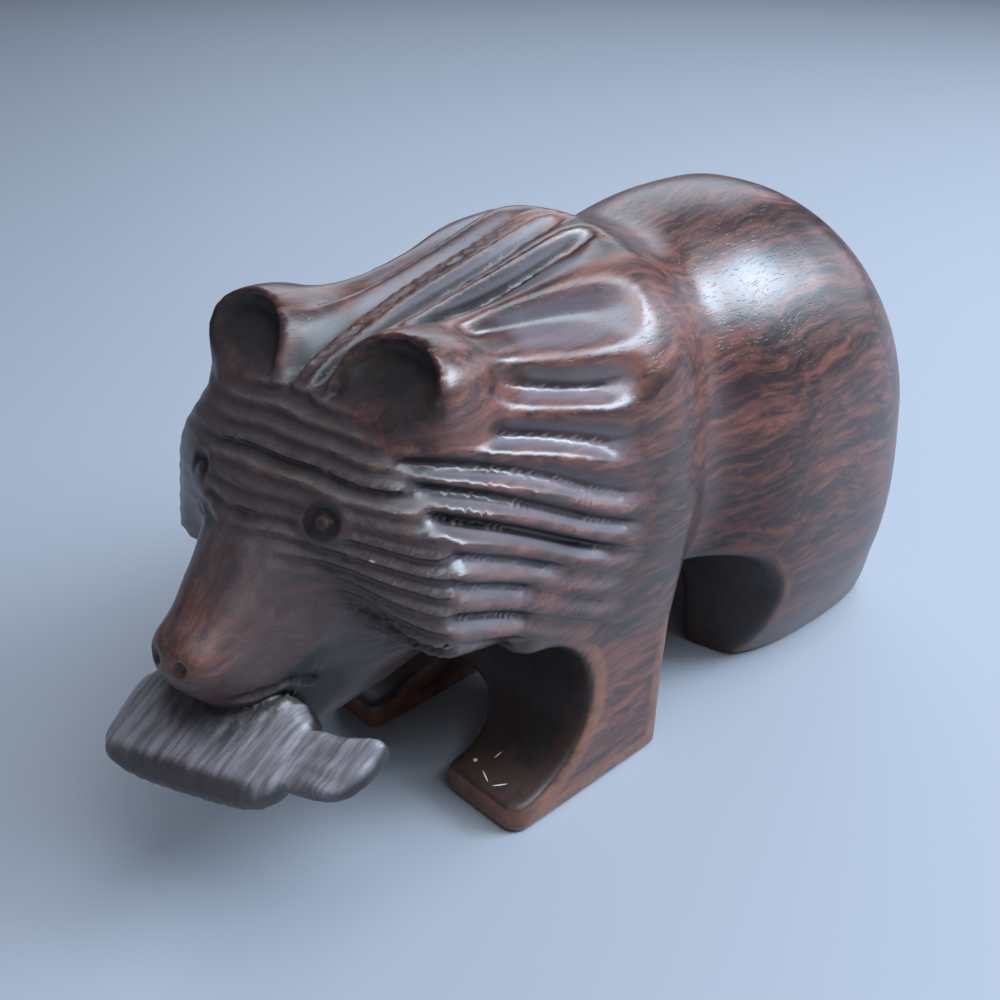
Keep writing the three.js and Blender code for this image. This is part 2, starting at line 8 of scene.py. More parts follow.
import bpy
import numpy as np
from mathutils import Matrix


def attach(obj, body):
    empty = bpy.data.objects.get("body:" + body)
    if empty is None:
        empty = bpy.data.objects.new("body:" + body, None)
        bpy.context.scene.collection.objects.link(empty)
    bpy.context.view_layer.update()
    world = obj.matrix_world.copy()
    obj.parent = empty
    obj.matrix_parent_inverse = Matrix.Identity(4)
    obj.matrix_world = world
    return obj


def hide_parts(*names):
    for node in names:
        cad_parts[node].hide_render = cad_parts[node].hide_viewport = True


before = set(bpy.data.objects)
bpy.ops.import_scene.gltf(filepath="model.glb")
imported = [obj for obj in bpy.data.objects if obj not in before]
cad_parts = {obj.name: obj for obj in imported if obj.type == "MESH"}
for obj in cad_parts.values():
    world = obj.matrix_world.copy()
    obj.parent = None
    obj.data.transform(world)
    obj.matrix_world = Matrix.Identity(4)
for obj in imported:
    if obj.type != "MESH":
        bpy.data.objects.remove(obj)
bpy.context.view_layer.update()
print("frame nodes:", sorted(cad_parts))

# %% [markdown]
# The camera stands close to the bear's left cheek and looks down at it, so the perspective is strong.
# A longer lens from further off would be easier to place, but the head would then look too small for
# the rump. The photograph's frame is square, and a 43.2 mm lens on a 36 mm sensor gives its field of view.

# %% Camera
MM = 0.001
ORIGIN = np.array([0.0, -10.25, 0.0])
camera_data = bpy.data.cameras.new("camera")
camera_data.lens = 43.2
camera_data.sensor_width = 36.0
camera_data.clip_start = 0.01
camera = bpy.data.objects.new("camera", camera_data)
bpy.context.collection.objects.link(camera)
camera.location = (np.array([121.9, -138.28, 136.1]) - ORIGIN) * MM
camera.rotation_euler = (np.radians(90 - 29), 0, np.radians(46.5))
bpy.context.scene.camera = camera
print("camera at", [round(v, 4) for v in camera.location])

# %% [markdown]
# The block is described as a field: a number for each point in space, below zero inside the wood. A carver
# joins volumes with fillets and takes wood away with gouges, and a field can do both with two short
# formulas. Sculpting the mesh by hand would give the same shape, but no one could read it or change it.

# %% Carver's formulas


def ramp(start, end, value):
    t = np.clip((value - start) / (end - start), 0, 1)
    return t * t * (3 - 2 * t)


def join(a, b, radius):
    h = np.clip(0.5 + 0.5 * (b - a) / radius, 0, 1)
    return b + (a - b) * h - radius * h * (1 - h)


def trim(a, b, radius):
    return -join(-a, -b, radius)


def cut(wood, tool, radius):
    return trim(wood, -tool, radius)


def length3(x, y, z):
    return np.sqrt(x * x + y * y + z * z)


def pebble(x, y, z, s):
    flat = (np.abs(x / s.width) ** s.plan + np.abs(y / s.length) ** s.plan) ** (1 / s.plan)
    size = (flat ** s.round + np.abs(z / s.rise) ** s.round) ** (1 / s.round)
    return length3(x, y, z) * (1 - 1 / np.maximum(size, 1e-6))


def rounded_outline(a, b, length, height, corner):
    size = (np.abs(a / length) ** corner + np.abs(b / height) ** corner) ** (1 / corner)
    return (size - 1) * min(length, height)


def segment_place(x, y, z, start, end):
    d = np.subtract(end, start).astype(float)
    px, py, pz = x - start[0], y - start[1], z - start[2]
    t = np.clip((px * d[0] + py * d[1] + pz * d[2]) / (d @ d), 0, 1)
    return t, length3(px - t * d[0], py - t * d[1], pz - t * d[2])


def stick(x, y, z, start, end, start_radius, end_radius):
    t, away = segment_place(x, y, z, start, end)
    return away - start_radius - (end_radius - start_radius) * t


def chance(index, salt):
    value = np.sin(index * 12.9898 + salt * 78.233 + 4.1) * 43758.5453
    return value - np.floor(value)


def tunnel(across, z, springing, radius):
    return np.where(z > springing, np.hypot(across, z - springing), np.abs(across)) - radius


print("two ways to shape wood: join and cut")

# %% [markdown]
# The hindquarters are one big pebble that leans back towards the floor, with a short loin in front of it and
# two low feet below. A plain ellipsoid would roll off at the foot, so the lower half has a squarer profile.

# %% Hindquarters
rump = Shape(y=31.1, z=43.5, lean=0.185)
haunch_above = Shape(width=30.5, length=36.2, rise=42.8, plan=2.52, round=2)
haunch_below = Shape(width=30.5, length=36.2, rise=51, plan=2.52, round=2.8)
waist = Shape(y=4, z=54, width=22, length=32, rise=28.5, plan=2.5, round=2.5)
hind_leg = Shape(x=12.6, y=42, width=7.2, length=18.5, top=8, splay=0.13, corner=3.2)


def hindquarters(x, y, z):
    lift = z - rump.z
    back = y - rump.y + rump.lean * lift
    haunch = np.where(lift > 0, pebble(x, back, lift, haunch_above), pebble(x, back, lift, haunch_below))
    loin = pebble(x, y - waist.y, z - waist.z, waist)
    leg_x = np.abs(x) - hind_leg.x - hind_leg.splay * (y - hind_leg.y)
    post = rounded_outline(leg_x, y - hind_leg.y, hind_leg.width, hind_leg.length, hind_leg.corner)
    return join(join(haunch, loin, 7), trim(post, z - hind_leg.top, 6), 7)


print("haunch", 2 * haunch_above.width, "mm across")

# %% [markdown]
# Shoulder, mane and face are one squared block with a hump, a sloping forehead and curved cheeks. The mane
# is then cut with a V gouge: each cut has a steep upper wall and a broad lower one, and runs out to a tip
# behind. The brow lines are shallow scallops side by side, which meet the V cuts at the corner of the cheek.
# Lines in a bump texture would be quicker, but would vanish from the outline. The far cheek is left plainer.

# %% Mane block
chest = Shape(width=27.2, barrel=0.0021, barrel_z=56, hump_y=-18, hump_z=88.7, crown=62, back=-7)
neck_fall = Shape(slope=0.3, bend=0.0006, behind=0.012, soft=7)
brow = Shape(y=-57.2, z=78.5, slope=50, curve=0.01)
face = Shape(y=-71.5, curve=0.0167, lean=0.000235, lean_z=62)
mane_hem = Shape(y=-58.8, z=42, slope=0.336)
eye = Shape(x=11.9, y=-68.3, z=62.2, ring=1.7, wire=0.8, out=(0.25, -0.78, 0.57), bare=2.4, fade=2.5)


def mane_block(x, y, z):
    side = np.abs(x) - chest.width + chest.barrel * (z - chest.barrel_z) ** 2
    ahead = chest.hump_y - y
    forward = (ahead + np.hypot(ahead, neck_fall.soft)) / 2
    behind = np.maximum(-ahead, 0)
    fall = neck_fall.slope * forward + neck_fall.bend * forward ** 2 + neck_fall.behind * behind ** 2
    top = (z - chest.hump_z + fall + x * x / chest.crown) * 0.95
    tilt = np.radians(brow.slope)
    forehead = (brow.y + brow.curve * x * x - y) * np.sin(tilt) + (z - brow.z) * np.cos(tilt)
    sweep = face.curve + face.lean * (z - face.lean_z)
    cheeks = (face.y - y + sweep * x * x) / np.hypot(1, 2 * sweep * x)
    hem = (mane_hem.z - (y - mane_hem.y) * mane_hem.slope - z) * 0.95
    crown = trim(side, top, 11)
    front = trim(forehead, cheeks, 5)
    block = trim(trim(trim(crown, front, 2.5), hem, 4), y - chest.back, 11)
    return block, crown, front


print("mane block", 2 * chest.width, "mm across")

# %% Mane and brow cuts
neck_round = Shape(z=68, low=52, radius=27, shift=14.5, hem=-25, slant=0.48, slant_y=-57.5, blend=7)
mane_cut = Shape(pitch=4.5, depth=2.4, steep=1.15, slack=2.5, lift=0.7, run=6, wander=0.5, lean=0.02,
                 lean_y=-40, most_lean=0.3, spread=3, bottom=0.26, crest=0.08, alike_from=22.5)
mane_tips = ([-24, -13, -8, -3, 5, 8, 13, 28], [-21, -21.5, -20, -18, -17.5, -20.5, -18, -8])
brow_cut = Shape(pitch=2.5, depth=1.15, arch=0.0025, end_z=80, spread=0.25, corner_x=26.5, faint=0.7)
bare_muzzle = Shape(z=45, width=14.5, rise=14.5)
bare_ear = Shape(low=5, high=20, fade=3, front_y=-50, back_y=-45)
bare_jaw = Shape(from_z=34, to_z=40)
plain_cheek = Shape(from_x=-6, to_x=-16, less=0.85)


def cut_place(across, y, salt):
    index = np.floor(across / mane_cut.pitch)
    wander = mane_cut.wander * (chance(index, salt) - 0.5)
    lean = mane_cut.lean * (y - mane_cut.lean_y) * (chance(index, salt + 3) - 0.5)
    middle = (index + 0.5) * mane_cut.pitch + mane_cut.lift
    return index, across - middle - wander - np.clip(lean, -mane_cut.most_lean, mane_cut.most_lean)


def scallop(across, pitch):
    index = np.floor(across / pitch)
    return index, 1 - (2 * (across / pitch - index) - 1) ** 2


def mane_cuts(x, y, z, crown, front):
    half = np.abs(x)
    at_side = ramp(8, 22, half)
    above = z - neck_round.z + neck_round.slant * (y - neck_round.slant_y) * at_side
    angle = np.arctan2(above + neck_round.z - neck_round.low, half)
    over = neck_round.radius * angle - neck_round.shift
    counted = above + (over - above) * ramp(-neck_round.blend, neck_round.blend, above)
    salt = np.where((x > 0) | (counted > mane_cut.alike_from), 0, 7)
    index, offset = cut_place(counted, y, salt)
    tip = np.interp(counted, *mane_tips) + mane_cut.spread * (chance(index, salt + 1) - 0.5)
    depth = mane_cut.depth * (0.75 + 0.5 * chance(index, salt + 2))
    depth = depth * np.clip((tip - y) / mane_cut.run, 0, 1) ** 0.8
    depth = depth * (1 + 0.5 * ramp(8, 15, counted))
    upper, lower = offset / mane_cut.steep, -offset / mane_cut.slack
    groove = 1 - (upper + lower + np.hypot(upper - lower, mane_cut.bottom)) / 2
    sides = depth * (groove + np.hypot(groove, mane_cut.crest)) / 2
    beside_ear = ramp(bare_ear.low, bare_ear.low + bare_ear.fade, counted)
    beside_ear = beside_ear * ramp(bare_ear.high, bare_ear.high - bare_ear.fade, counted)
    sides = sides * (1 - beside_ear * (1 - ramp(bare_ear.front_y, bare_ear.back_y, y)))
    sides = sides * ramp(neck_round.hem, neck_round.hem + 3.5, counted)
    outward = np.minimum(half / brow_cut.corner_x, 1) ** 2
    arched = z - neck_round.z + brow_cut.arch * (x * x - brow_cut.corner_x ** 2)
    middle = 1 - outward
    sway = middle * (0.35 * np.sin(0.21 * x + 0.15 * z) + 0.18 * np.sin(0.5 * x - 0.2 * z + 1.0))
    level = arched * (1 + brow_cut.spread * middle) + sway
    index, wave = scallop(level, brow_cut.pitch)
    bold = brow_cut.faint + (1 - brow_cut.faint) * outward
    strength = (0.6 + 0.8 * chance(index, 2)) * bold
    from_muzzle = np.hypot(x / bare_muzzle.width, (z - bare_muzzle.z) / bare_muzzle.rise)
    strength = strength * ramp(0.85, 1.1, from_muzzle) * ramp(brow_cut.end_z, brow_cut.end_z - 6, z)
    plainer = plain_cheek.less * ramp(plain_cheek.from_x, plain_cheek.to_x, x)
    strength = strength * ramp(bare_jaw.from_z, bare_jaw.to_z, z) * (1 - plainer)
    sides = sides * (1 - plainer * ramp(10, 4, counted))
    from_eye = length3(half - eye.x, y - eye.y, z - eye.z)
    facing = ramp(-2, 0.6, front - crown)
    clear = ramp(eye.bare, eye.bare + eye.fade, from_eye)
    depth = (sides * (1 - facing) + brow_cut.depth * strength * wave * facing) * clear
    return depth, np.minimum(strength, 1) * (1 - wave) ** 3 * facing * clear


print("V cuts every", mane_cut.pitch, "mm")

# %% [markdown]
# The head adds a broad muzzle, a nose pad, a deep jaw, two low hooded ears and two drilled eye rings. The
# hand marks on the muzzle are shallow dents along short lines, so each one has two end points, a width and
# a depth. The mane's cuts are made after the muzzle is joined on, so that the brow lines run over its root.

# %% Head
muzzle = Shape(y=-72, z=50, pitch=46, width=11.3, length=15.3, rise=7.6, sink=1.5, plan=2.6, round=2.6)
nose = Shape(y=-81.4, z=44.6, width=5.4, length=3.8, rise=3.6, plan=2.3, round=2.3)
nostril = Shape(x=2.4, y=-85, z=44.9, radius=1.1)
ear = Shape(x=13.3, y=-54.2, z=75, width=9, length=4.6, rise=7.6, plan=2.2, round=2.2, back=0.34)
ear_floor = Shape(x=13.8, y=-59, z=74.3, pitch=38, width=8, length=8.2, lift=1, corner=2.1)
cheek_hollow = Shape(top=(15.5, -76, 56), bottom=(19.5, -71, 35), top_radius=7, bottom_radius=11)
jaw = Shape(back=(0, -46, 41), tip=(0, -66.5, 34), back_radius=15, tip_radius=9.5)
dent_depth = 1.5
face_dents = [
    ((10.0, -71.8, 55.0), (8.7, -79.8, 48.3), 1.5, 0.5),
    ((12.8, -69.6, 51.6), (10.5, -77.6, 46.6), 1.3, 0.45),
    ((11.8, -68.0, 55.5), (12.4, -73.5, 49.5), 1.0, 0.3),
    ((5.0, -73.0, 58.5), (6.2, -80.5, 51.5), 1.3, 0.35),
    ((0.0, -71.5, 60.0), (0.5, -82.0, 51.0), 1.6, 0.3),
    ((14.2, -68.5, 47.5), (12.0, -74.0, 43.5), 0.9, 0.35),
    ((8.6, -82.3, 43.5), (12.2, -76.5, 43.0), 0.8, 0.3),
]


def tipped(y, z, s):
    pitch = np.radians(s.pitch)
    dy, dz = y - s.y, z - s.z
    return -dy * np.cos(pitch) - dz * np.sin(pitch), -dy * np.sin(pitch) + dz * np.cos(pitch)


def head(x, y, z):
    half = np.abs(x)
    block, crown, front = mane_block(x, y, z)
    hollow = stick(half, y, z, cheek_hollow.top, cheek_hollow.bottom, cheek_hollow.top_radius,
                   cheek_hollow.bottom_radius)
    wood = cut(block, hollow, 3)
    down, up = tipped(y, z, muzzle)
    up = up + muzzle.sink
    narrowing = 1 + 0.022 * np.maximum(down - 2, 0) + 0.05 * np.clip(up + 3, 0, 12)
    wood = join(wood, pebble(x * narrowing, down, up, muzzle), 6)
    wood = join(wood, pebble(x, y - nose.y, z - nose.z, nose), 4)
    wood = join(wood, stick(x, y, z, jaw.back, jaw.tip, jaw.back_radius, jaw.tip_radius), 9)
    wood = wood + mane_cuts(x, y, z, crown, front)[0]
    behind = np.maximum(y - ear.y, 0)
    wood = join(wood, pebble(half - ear.x, y - ear.y - (1 - ear.back) * behind, z - ear.z, ear), 6)
    down, up = tipped(y, z, ear_floor)
    arch = rounded_outline(half - ear_floor.x, down + ear_floor.lift, ear_floor.width, ear_floor.length,
                           ear_floor.corner)
    wood = cut(wood, trim(arch, -up, 2.5), 0.7)
    ex, ey, ez = half - eye.x, y - eye.y, z - eye.z
    out = ex * eye.out[0] + ey * eye.out[1] + ez * eye.out[2]
    aside = np.sqrt(np.maximum(ex * ex + ey * ey + ez * ez - out * out, 0))
    wood = cut(wood, np.hypot(aside - eye.ring, out) - eye.wire, 0.4)
    for start, end, width, depth in face_dents:
        t, away = segment_place(half, y, z, start, end)
        wood = wood + dent_depth * depth * np.exp(-(away / width) ** 2)
    return cut(wood, length3(half - nostril.x, y - nostril.y, z - nostril.z) - nostril.radius, 0.4)


print(len(face_dents), "gouge dents on each side of the muzzle")

# %% [markdown]
# The fish is a thick leaf held across the mouth, with a fan for its tail. It has its own axes: a runs along
# it to the tail, b down its flank and t through it. Its belly edge is planed to a bevel, fine flutes cross
# its flank and rays run out to the tail's rim. Its own axes keep the formulas short while it lies askew.

# %% Fish
fish = Shape(centre=(4, -81, 34), yaw=14, pitch=56, tilt=11, thickness=6.8, proud=0.2)
flank = Shape(a=0.5, b=1.4, length=14.6, height=8, shear=0.22, belly=0.06, corner=4.2, bevel=1.9)
tail = Shape(root_a=14, b=2.4, root=4.1, flare=0.05, tip=(16.6, -2.5), radius=10.2, thickness=3.6, t=0.6)
yaw, lean_out, tilt_down = np.radians([fish.yaw, fish.pitch, fish.tilt])
fish_t = np.array([np.sin(yaw) * np.cos(lean_out), -np.cos(yaw) * np.cos(lean_out), np.sin(lean_out)])
level_axis = np.array([np.cos(yaw), np.sin(yaw), 0])
down_axis = np.cross(level_axis, fish_t)
fish_a = level_axis * np.cos(tilt_down) - down_axis * np.sin(tilt_down)
fish_b = level_axis * np.sin(tilt_down) + down_axis * np.cos(tilt_down)


def fish_axes(x, y, z):
    px, py, pz = x - fish.centre[0], y - fish.centre[1], z - fish.centre[2]
    return [px * axis[0] + py * axis[1] + pz * axis[2] for axis in (fish_a, fish_b, fish_t)]


def belly_bevel(a, b, t):
    return 0.75 * (b - flank.b - flank.belly * a - flank.height) + 0.66 * (t - fish.proud) + flank.bevel


def fish_wood(x, y, z):
    a, b, t = fish_axes(x, y, z)
    bevel = belly_bevel(a, b, t)
    t = t + fish.thickness / 2 - fish.proud
    body_a = a - flank.a + flank.shear * (b - flank.b)
    body_b = b - flank.b - flank.belly * a
    outline = rounded_outline(body_a, body_b, flank.length, flank.height, flank.corner)
    body = trim(outline, np.abs(t) - fish.thickness / 2, 2.2)
    body = trim(body, bevel, 0.8)
    sides = np.abs(b - tail.b) - tail.root - tail.flare * (a - tail.root_a)
    fan = trim(sides, np.hypot(a - tail.tip[0], b - tail.tip[1]) - tail.radius, 1.6)
    fan = trim(trim(fan, np.abs(t - tail.t) - tail.thickness / 2, 1), tail.root_a - 6 - a, 1)
    phase = 2.9 * a + 0.55 * b + 0.8 * np.sin(0.5 * a + 0.4 * b) + 0.5 * np.sin(1.3 * b - 0.4 * a)
    strength = 0.55 + 0.45 * np.sin(0.37 * a + 2.1) * np.sin(0.9 * a + 0.3)
    flutes = 0.13 * strength * (1 + np.sin(phase)) * ramp(16.5, 13.5, a) * ramp(0.2, -0.6, bevel)
    ray_angle = np.arctan2(b - 3.4, np.maximum(a - 9, 1))
    rays = 0.14 * (1 + np.sin(26 * ray_angle + 0.4 * np.sin(0.8 * a))) * ramp(14, 17, a) * ramp(-0.5, 1, t)
    return join(body, fan, 1) + flutes + rays


print("fish", 2 * flank.length, "mm long without its tail")

# %% [markdown]
# The whole bear is the head, turned a little to its left, the block of the forelegs and the hindquarters. The
# toes are cleared with a round scoop, the belly with an arch that flares to both sides, and the space between
# the legs with a long gouge. Last the soles are planed and the fish is set in the mouth with a knife line.

# %% Whole bear
fore_leg = Shape(y=-24.8, z=23, width=24.2, flare=0.035, length=17.6, rise=25, edge=3)
fore_gap, hind_gap = (-1.5, 2.8, 9.3), (-0.5, 13, 8.4)
head_turn = Shape(angle=7.5, from_y=-26, pivot_y=-50)
toe_scoop = Shape(y=-41.5, z=20, radius=14.6)
belly_arch = Shape(y=2.55, z=17, radius=10.55, flare=0.11, lean=0.06, lean_from=24)
mouth_line = ((9.5, -79.5, 38.4), (12.0, -72.0, 39.8), (11.6, -68.0, 37.6))


def rounded_box(x, y, z, s):
    dx, dy, dz = np.abs(x) - s.width + s.edge, np.abs(y) - s.length + s.edge, np.abs(z) - s.rise + s.edge
    outside = length3(np.maximum(dx, 0), np.maximum(dy, 0), np.maximum(dz, 0))
    return outside + np.minimum(np.maximum(np.maximum(dx, dy), dz), 0) - s.edge


def turned(x, y):
    angle = np.radians(head_turn.angle) * ramp(head_turn.from_y, head_turn.pivot_y, y)
    ahead = y - head_turn.pivot_y
    turned_y = np.cos(angle) * ahead - np.sin(angle) * x + head_turn.pivot_y
    return np.cos(angle) * x + np.sin(angle) * ahead, turned_y


def toe_cut(y, z):
    return np.hypot(y - toe_scoop.y, z - toe_scoop.z) - toe_scoop.radius


def belly_cut(x, y, z):
    flare = belly_arch.flare * np.abs(x) + belly_arch.lean * np.maximum(belly_arch.lean_from - z, 0)
    return tunnel(y - belly_arch.y - flare, z, belly_arch.z, belly_arch.radius + flare)


def bear_and_fish(x, y, z):
    head_x, head_y = turned(x, y)
    leg = rounded_box(np.abs(x) - fore_leg.flare * z, y - fore_leg.y, z - fore_leg.z, fore_leg)
    wood = join(head(head_x, head_y, z), leg, 2.5)
    wood = join(wood, hindquarters(x, y, z), 13)
    wood = cut(wood, toe_cut(y, z), 1.2)
    wood = cut(wood, belly_cut(x, y, z), 1.5)
    hindward = ramp(-8, 8, y)
    gap_x, gap_z, gap_radius = (p + (q - p) * hindward for p, q in zip(fore_gap, hind_gap))
    wood = cut(wood, tunnel(x - gap_x, z, gap_z, gap_radius), 2)
    wood = trim(wood, -z, 1)
    return wood, fish_wood(x, y, z)


def whole(points):
    x, y, z = points.T
    wood, catch = bear_and_fish(x, y, z)
    both = join(wood, catch, 0.6)
    line = np.hypot(wood, catch) - 0.45
    both = cut(both, line, 0.3)
    for start, end in zip(mouth_line, mouth_line[1:]):
        both = cut(both, stick(x, y, z, start, end, 0.55, 0.75), 0.3)
    return both


print("field at the rump's middle:", round(float(whole(np.array([[0.0, 31.0, 43.0]]))[0]), 1), "mm")

# %% [markdown]
# To get a mesh from the field, a grid is laid over the block and each cell that the surface crosses gets
# one point. Points of cells that share a crossed grid line make a quad. Each point is put where the flat
# pieces of surface at its cell's crossings meet, so that the V cuts stay crisp; Blender's voxel remesh would
# blunt them. The cells are long in y, because the cuts run that way and need fine steps only across. Behind
# the brow the crests run slantwise through the grid, so there the mesh is eased twice more.

# %% Grid over the block
CELL = np.array([0.69, 1.05, 0.61])
LOW = np.array([-32.0, -92.5, -1.2])
HIGH = np.array([32.6, 72.4, 90.0])
shape = np.ceil((HIGH - LOW) / CELL).astype(int) + 1
ticks = [LOW[k] + CELL[k] * np.arange(shape[k]) for k in range(3)]
values = np.empty(shape)
for i, x in enumerate(ticks[0]):
    y, z = np.meshgrid(ticks[1], ticks[2], indexing="ij")
    values[i] = whole(np.stack([np.full(y.size, x), y.ravel(), z.ravel()], 1)).reshape(y.shape)
inside = values < 0
count = sum(inside[i:shape[0] - 1 + i, j:shape[1] - 1 + j, k:shape[2] - 1 + k].astype(int)
            for i in (0, 1) for j in (0, 1) for k in (0, 1))
cells = np.argwhere((count > 0) & (count < 8))
number = np.full(count.shape, -1)
number[tuple(cells.T)] = np.arange(len(cells))
print("grid", shape.tolist(), "with", len(cells), "crossed cells")

# %% Fine mesh


def slope(p, h=0.04):
    return np.stack([(whole(p + h * e) - whole(p - h * e)) / (2 * h) for e in np.eye(3)], 1)


def gather(index, amounts):
    flat = amounts.reshape(len(amounts), -1)
    sums = [np.bincount(index, flat[:, k], len(cells)) for k in range(flat.shape[1])]
    return np.stack(sums, 1).reshape((len(cells),) + amounts.shape[1:])


step = np.eye(3, dtype=int)
quads, owners, crossings = [], [], []
for axis in range(3):
    u, v = (axis + 1) % 3, (axis + 2) % 3
    low_end = tuple(slice(0, m - 1) if k == axis else slice(1, m - 1) for k, m in enumerate(shape))
    high_end = tuple(slice(1, m) if k == axis else slice(1, m - 1) for k, m in enumerate(shape))
    change = np.argwhere(inside[low_end] != inside[high_end]) + 1 - step[axis]
    corners = (-step[u] - step[v], -step[v], 0, -step[u])
    around = np.stack([number[tuple((change + d).T)] for d in corners], 1)
    outward = inside[tuple(change.T)]
    quads.append(np.where(outward[:, None], around, around[:, ::-1]))
    first, last = values[tuple(change.T)], values[tuple((change + step[axis]).T)]
    share = first / (first - last)
    owners.append(around)
    crossings.append(LOW + CELL * (change + share[:, None] * step[axis]))
quads, crossings = np.concatenate(quads), np.concatenate(crossings)
for _ in range(2):
    g = slope(crossings)
    move = np.clip(whole(crossings) / np.maximum((g * g).sum(1), 0.2), -0.2, 0.2)
    crossings = crossings - move[:, None] * g
flats = slope(crossings)
flats = flats / np.maximum(np.linalg.norm(flats, axis=1), 1e-6)[:, None]
owner = np.concatenate(owners).ravel()
planes = np.repeat(flats[:, :, None] * flats[:, None, :], 4, 0)
reach = np.repeat(flats * (flats * crossings).sum(1)[:, None], 4, 0)
share = gather(owner, np.ones((len(owner), 1)))
middle = gather(owner, np.repeat(crossings, 4, 0)) / np.maximum(share, 1)
HOLD = 0.4
pull = (gather(owner, reach) + HOLD * middle)[:, :, None]
points = np.linalg.solve(gather(owner, planes) + HOLD * np.eye(3), pull)[:, :, 0]
corner = LOW + CELL * cells
points = np.clip(points, corner - 0.15 * CELL, corner + 1.15 * CELL)
for _ in range(2):
    g = slope(points, 0.15)
    move = np.clip(whole(points) / np.maximum((g * g).sum(1), 0.3), -0.2, 0.2)
    points = points - move[:, None] * g
sides = np.concatenate([quads[:, [k, (k + 1) % 4]] for k in range(4)])
sides = np.unique(np.concatenate([sides, sides[:, ::-1]]), axis=0)
meeting = np.bincount(sides[:, 0], minlength=len(points))
behind_brow = 0.5 * ramp(-62, -52, points[:, 1])
for amount in (np.full(len(points), 0.3), behind_brow, behind_brow):
    mean = np.stack([np.bincount(sides[:, 0], points[sides[:, 1], k], len(points)) for k in range(3)], 1)
    points = points + amount[:, None] * (mean / np.maximum(meeting, 1)[:, None] - points)
points[:, 2] = np.where(points[:, 2] < 0.12, 0, points[:, 2])
print(len(points), "points and", len(quads), "quads,",
      round(float(np.abs(whole(points)).mean()), 4), "mm off the surface on average")

# %% [markdown]
# Hands polish what stands out; what lies deep gathers dust and is painted darker as shade. The field tells
# both: a short step inwards from an edge soon meets the other side, and a short step outwards from a cut
# soon meets its other wall. Other measures mark the fish, its chalky rim at the lips, the shaded hollows,
# the cuts and the eyes.
# They are kept on the mesh, and the finish reads them there, so they hold from every side.

# %% Wear and dust measures
normals = slope(points, 0.25)
steepness = np.linalg.norm(normals, axis=1)
normals = normals / steepness[:, None]


def left_out(distance):
    reach = whole(points + normals * distance) / (distance * np.clip(steepness, 0.5, 1.5))
    return np.clip(1 - reach, 0, 1)


def left_in(distance):
    reach = -whole(points - normals * distance) / (distance * np.clip(steepness, 0.5, 1.5))
    return np.clip(1 - reach, 0, 1)


# cut and hollow set where shade is painted in cuts and hollows; hollow also sets where dust settles.
measures = {
    "edge": np.clip(left_in(4.0) - 0.9 * left_in(1.3), 0, 1),
    "cut": left_out(1.4),
    "hollow": 0.5 * left_out(6.0) + 0.5 * left_out(14.0),
}
wood, catch = bear_and_fish(*points.T)
measures["fish"] = ramp(0.3, -0.3, catch - wood)
fish_a_b_t = fish_axes(*points.T)
in_tail = ramp(13.5, 15.5, fish_a_b_t[0])
above_bevel = np.maximum(ramp(0.2, -0.9, belly_bevel(*fish_a_b_t)), in_tail)
measures["fish_face"] = measures["fish"] * ramp(-2.4, -0.8, fish_a_b_t[2]) * above_bevel
measures["chalk"] = measures["fish_face"] * ramp(3.8, 1.6, wood) * ramp(-7, -2, fish_a_b_t[0])
x, y, z = points.T
# under marks where shade is painted: by the toe scoop and the belly arch, and in the ear hollows.
measures["under"] = ramp(1.0, 0.3, np.minimum(np.abs(toe_cut(y, z)), np.abs(belly_cut(x, y, z))))
head_x, head_y = turned(x, y)
block, crown, front = mane_block(head_x, head_y, z)
carved, ridge = mane_cuts(head_x, head_y, z, crown, front)
on_block = ramp(1.0, 0.4, np.abs(block + carved))
measures["groove"] = np.clip(carved / 1.4, 0, 1) * on_block
measures["ridge"] = ridge * on_block
down, up = tipped(head_y, z, ear_floor)
in_ear = rounded_outline(np.abs(head_x) - ear_floor.x, down + ear_floor.lift, 8.4, 8.6, 2.1) < 0
ear_shade = in_ear * ramp(2.5, 0.8, np.abs(up)) * ramp(2.0, -3.5, down)
measures["under"] = np.maximum(measures["under"], ear_shade)
measures["eye"] = np.clip(length3(np.abs(head_x) - eye.x, head_y - eye.y, z - eye.z) / 5, 0, 1)
for name, value in measures.items():
    print(name, "mean", round(float(value.mean()), 3), "most", round(float(value.max()), 3))

# %% [markdown]
# Bear and fish are one piece of wood, so they are one mesh, which takes the place of the frame's solid.
# Head, body and fish apart would be easier to colour, but their seams would show and no carving has them.

# %% Carved bear
mesh = bpy.data.meshes.new("bear_carving")
mesh.from_pydata(((points - ORIGIN) * MM).tolist(), [], quads.tolist())
mesh.polygons.foreach_set("use_smooth", np.ones(len(quads), dtype=bool))
for name, value in measures.items():
    layer = mesh.attributes.new(name, "FLOAT", "POINT")
    layer.data.foreach_set("value", value.astype(np.float32))
mesh.validate()
mesh.update()
bear = bpy.data.objects.new("bear_carving", mesh)
bpy.context.collection.objects.link(bear)
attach(bear, "root")
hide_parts("carved_bear")
print("bear:", len(mesh.polygons), "faces")

# %% [markdown]
# The finish has four effects, each a node group: the grain of the ironwood, the wear that hands leave, the
# dust that settles and some lint. A group only puts out colours and masks; the shader stays in the material.

# %% Node helpers


